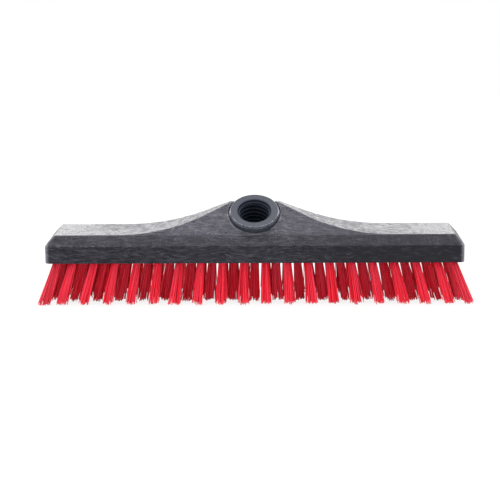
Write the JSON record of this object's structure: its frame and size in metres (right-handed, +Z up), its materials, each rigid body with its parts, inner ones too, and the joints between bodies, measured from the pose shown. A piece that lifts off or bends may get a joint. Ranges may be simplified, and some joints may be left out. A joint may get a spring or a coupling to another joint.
{
  "type": "floor scrub brush",
  "caption": "Long floor scrub brush head: a dark moulded block with a humped back, a tilted threaded handle socket and stiff red bristle tufts that fan out below.",
  "frame": {"origin": "under the middle of the block, at the level of the cut bristle tips", "axes": "+X along the block, +Z up, and -Y the front, which the handle socket's mouth leans towards"},
  "size_m": [0.3106, 0.06, 0.0745],
  "materials": {
    "block_plastic": "moulded structural foam with faint swirls",
    "insert_plastic": "smooth injection moulded",
    "bristle": "stiff drawn filaments, cut level"
  },
  "bodies": {
    "root": {"brush_block": "block_plastic", "threaded_insert": "insert_plastic", "tuft_strip_01": "bristle", "tuft_strip_02": "bristle", "tuft_strip_03": "bristle", "tuft_strip_04": "bristle", "tuft_strip_05": "bristle", "tuft_strip_06": "bristle", "tuft_strip_07": "bristle", "tuft_strip_08": "bristle", "tuft_strip_09": "bristle", "tuft_strip_10": "bristle", "tuft_strip_11": "bristle", "tuft_strip_12": "bristle", "tuft_strip_13": "bristle", "tuft_strip_14": "bristle", "tuft_strip_15": "bristle", "tuft_strip_16": "bristle", "tuft_strip_17": "bristle", "tuft_strip_18": "bristle", "tuft_strip_19": "bristle", "tuft_strip_20": "bristle", "tuft_strip_21": "bristle", "tuft_strip_22": "bristle", "tuft_strip_23": "bristle", "tuft_strip_24": "bristle", "tuft_strip_25": "bristle", "tuft_strip_26": "bristle", "tuft_strip_27": "bristle", "tuft_strip_28": "bristle", "tuft_strip_29": "bristle", "tuft_strip_30": "bristle", "tuft_strip_31": "bristle", "tuft_strip_32": "bristle", "tuft_strip_33": "bristle", "tuft_strip_34": "bristle", "tuft_strip_35": "bristle", "tuft_strip_36": "bristle", "tuft_strip_37": "bristle"}
  },
  "joints": []
}
